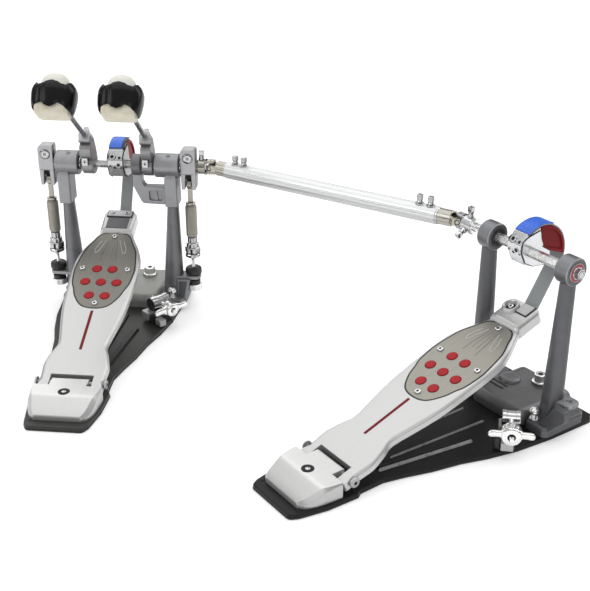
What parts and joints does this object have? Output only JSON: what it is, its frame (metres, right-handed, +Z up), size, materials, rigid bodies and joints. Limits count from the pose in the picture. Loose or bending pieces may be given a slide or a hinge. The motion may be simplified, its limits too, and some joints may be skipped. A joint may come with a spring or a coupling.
{
  "type": "double bass drum pedal",
  "caption": "Foot pedal pair for a bass drum: a two-beater primary pedal with hoop clamp and a slave pedal that drives the second beater through a telescopic shaft.",
  "frame": {"origin": "on the floor, straight below the middle of the primary axle line, on the underside of the primary base pad", "axes": "+Z up, +Y from the primary heel plate towards the drum, +X to the player's right along the primary axle"},
  "size_m": [0.7024, 0.5484, 0.3584],
  "materials": {
    "base_rubber": "matt moulded rubber",
    "black_steel": "semi-gloss black paint",
    "polished_alloy": "satin polished",
    "grey_casting": "satin grey paint on a casting",
    "bridge_casting": "satin grey paint on a casting",
    "bearing_steel": "ground",
    "bright_steel": "bright plated",
    "axle_steel": "drawn and plated",
    "cam_chrome": "bright plated",
    "cam_red": "moulded",
    "cam_blue": "moulded",
    "belt_fabric": "woven strap",
    "beater_shell": "moulded, glossy",
    "beater_felt": "pressed felt",
    "hub_casting": "tumbled casting",
    "spring_steel": "drawn wire",
    "grommet_rubber": "moulded rubber",
    "traction_alloy": "satin etched plate",
    "grip_red": "moulded rubber",
    "tube_alloy": "drawn, satin",
    "nickel_steel": "nickel plated"
  },
  "bodies": {
    "primary_frame": {"primary_base_pad": "base_rubber", "primary_baseplate": "black_steel", "primary_heel_plate": "polished_alloy", "primary_left_post": "grey_casting", "primary_left_housing": "grey_casting", "primary_right_post": "grey_casting", "primary_right_housing": "grey_casting", "primary_bearings": "bearing_steel", "primary_bridge": "bridge_casting", "primary_bolts": "bright_steel"},
    "primary_axle": {"primary_hex_axle": "axle_steel", "primary_cam_carrier": "cam_chrome", "primary_cam_inserts": "cam_red", "primary_belt": "belt_fabric", "primary_axle_screws": "bright_steel", "left_beater_hub": "hub_casting", "left_beater": "beater_shell", "left_rocker": "hub_casting"},
    "primary_footboard": {"primary_footboard": "polished_alloy", "primary_traction_plate": "traction_alloy", "primary_red_inlays": "grip_red", "primary_board_fittings": "bright_steel"},
    "left_spring_anchor": {"left_spring_rod": "bright_steel", "left_spring_grommets": "grommet_rubber", "left_spring_coil": "spring_steel"},
    "left_spring_top": {"left_spring_hook": "spring_steel"},
    "secondary_axle": {"secondary_hex_axle": "axle_steel", "secondary_yoke": "nickel_steel", "secondary_axle_screws": "bright_steel", "right_beater_hub": "hub_casting", "right_beater": "beater_shell", "right_rocker": "hub_casting"},
    "right_spring_anchor": {"right_spring_rod": "bright_steel", "right_spring_grommets": "grommet_rubber", "right_spring_coil": "spring_steel"},
    "right_spring_top": {"right_spring_hook": "spring_steel"},
    "left_cross": {"left_joint_cross": "nickel_steel"},
    "drive_tube": {"drive_tube": "tube_alloy", "tube_yoke": "nickel_steel"},
    "slave_frame": {"slave_base_pad": "base_rubber", "slave_baseplate": "black_steel", "slave_heel_plate": "polished_alloy", "slave_left_post": "grey_casting", "slave_right_post": "grey_casting", "slave_bearings": "bearing_steel", "slave_bridge": "bridge_casting", "slave_bolts": "bright_steel"},
    "drive_rod": {"drive_rod": "nickel_steel"},
    "right_cross": {"right_joint_cross": "nickel_steel"},
    "slave_axle": {"slave_hex_axle": "axle_steel", "slave_cam_carrier": "cam_chrome", "slave_cam_inserts": "cam_red", "slave_belt": "belt_fabric"},
    "slave_footboard": {"slave_footboard": "polished_alloy", "slave_traction_plate": "traction_alloy", "slave_red_inlays": "grip_red", "slave_board_fittings": "bright_steel"},
    "hoop_jaw": {"hoop_clamp_jaw": "bridge_casting"},
    "hoop_screw": {"hoop_wing_screw": "bright_steel"},
    "slave_screw": {"slave_wing_screw": "bright_steel"}
  },
  "joints": [
    {"name": "primary_axle_turn", "type": "hinge", "parent": "primary_frame", "child": "primary_axle", "pos_m": [0, 0, 0.2003], "axis": [-1, 0, 0], "range_deg": [0, 45], "stiffness_Nm_per_rad": 2, "springref_deg": -14.32, "deforming": ["primary_belt"]},
    {"name": "primary_board_hinge", "type": "hinge", "parent": "primary_frame", "child": "primary_footboard", "pos_m": [0, -0.255, 0.0187], "axis": [-1, 0, 0], "range_deg": [0, 9.6], "deforming": ["primary_belt"]},
    {"name": "left_spring_swing", "type": "hinge", "parent": "primary_frame", "child": "left_spring_anchor", "pos_m": [-0.0875, 0, 0.0435], "axis": [1, 0, 0], "range_deg": [0, 7.5]},
    {"name": "left_spring_stretch", "type": "slide", "parent": "left_spring_anchor", "child": "left_spring_top", "axis": [0, 0, 1], "range_m": [0, 0.007], "deforming": ["left_spring_coil"]},
    {"name": "secondary_axle_turn", "type": "hinge", "parent": "primary_frame", "child": "secondary_axle", "pos_m": [0, 0, 0.2003], "axis": [-1, 0, 0], "range_deg": [0, 45], "stiffness_Nm_per_rad": 2, "springref_deg": -14.32},
    {"name": "right_spring_swing", "type": "hinge", "parent": "primary_frame", "child": "right_spring_anchor", "pos_m": [0.1, 0, 0.0435], "axis": [1, 0, 0], "range_deg": [0, 7.5]},
    {"name": "right_spring_stretch", "type": "slide", "parent": "right_spring_anchor", "child": "right_spring_top", "axis": [0, 0, 1], "range_m": [0, 0.007], "deforming": ["right_spring_coil"]},
    {"name": "left_cross_turn", "type": "hinge", "parent": "secondary_axle", "child": "left_cross", "pos_m": [0.131, 0, 0.2003], "axis": [0, 0, 1], "range_deg": [-6, 6]},
    {"name": "drive_tube_spin", "type": "hinge", "parent": "primary_frame", "child": "drive_tube", "pos_m": [0.131, 0, 0.2003], "axis": [-0.9019, 0.4319, 0], "range_deg": [0, 42]},
    {"name": "slave_slide", "type": "slide", "parent": "primary_frame", "child": "slave_frame", "axis": [0.9019, -0.4319, 0], "range_m": [0, 0.06]},
    {"name": "drive_rod_spin", "type": "hinge", "parent": "slave_frame", "child": "drive_rod", "pos_m": [0.44502, -0.15035, 0.2003], "axis": [-0.9019, 0.4319, 0], "range_deg": [0, 42]},
    {"name": "slave_axle_turn", "type": "hinge", "parent": "slave_frame", "child": "slave_axle", "pos_m": [0.50651, -0.22013, 0.2003], "axis": [-0.6611, 0.7503, 0], "range_deg": [0, 45], "deforming": ["slave_belt"]},
    {"name": "right_cross_turn", "type": "hinge", "parent": "slave_axle", "child": "right_cross", "pos_m": [0.44502, -0.15035, 0.2003], "axis": [0, 0, 1], "range_deg": [-6, 6]},
    {"name": "slave_board_hinge", "type": "hinge", "parent": "slave_frame", "child": "slave_footboard", "pos_m": [0.31519, -0.38872, 0.0187], "axis": [-0.6611, 0.7503, 0], "range_deg": [0, 9.6], "deforming": ["slave_belt"]},
    {"name": "hoop_screw_turn", "type": "hinge", "parent": "primary_frame", "child": "hoop_screw", "pos_m": [0.08, -0.072, 0.0295], "axis": [0.7071, -0.7071, 0], "range_deg": [0, 1080]},
    {"name": "hoop_jaw_lower", "type": "slide", "parent": "primary_frame", "child": "hoop_jaw", "axis": [0, 0, -1], "range_m": [0, 0.006]},
    {"name": "slave_screw_turn", "type": "hinge", "parent": "slave_frame", "child": "slave_screw", "pos_m": [0.50538, -0.32775, 0.0295], "axis": [-0.063, -0.998, 0], "range_deg": [0, 1080]}
  ],
  "couplings": [
    {"joint": "primary_board_hinge", "follows": "primary_axle_turn", "ratio": 0.2087},
    {"joint": "left_spring_swing", "follows": "primary_axle_turn", "ratio": 0.16217},
    {"joint": "left_spring_stretch", "follows": "primary_axle_turn", "m_per_rad": 0.0086986},
    {"joint": "right_spring_swing", "follows": "secondary_axle_turn", "ratio": 0.16217},
    {"joint": "right_spring_stretch", "follows": "secondary_axle_turn", "m_per_rad": 0.0086986},
    {"joint": "left_cross_turn", "follows": "secondary_axle_turn", "ratio": 0.1261},
    {"joint": "drive_tube_spin", "follows": "secondary_axle_turn", "ratio": 0.92357},
    {"joint": "drive_rod_spin", "follows": "secondary_axle_turn", "ratio": 0.92357},
    {"joint": "slave_axle_turn", "follows": "secondary_axle_turn", "ratio": 0.98258},
    {"joint": "right_cross_turn", "follows": "secondary_axle_turn", "ratio": -0.11162},
    {"joint": "slave_board_hinge", "follows": "secondary_axle_turn", "ratio": 0.20506},
    {"joint": "hoop_screw_turn", "follows": "hoop_jaw_lower", "rad_per_m": 3141.6}
  ]
}
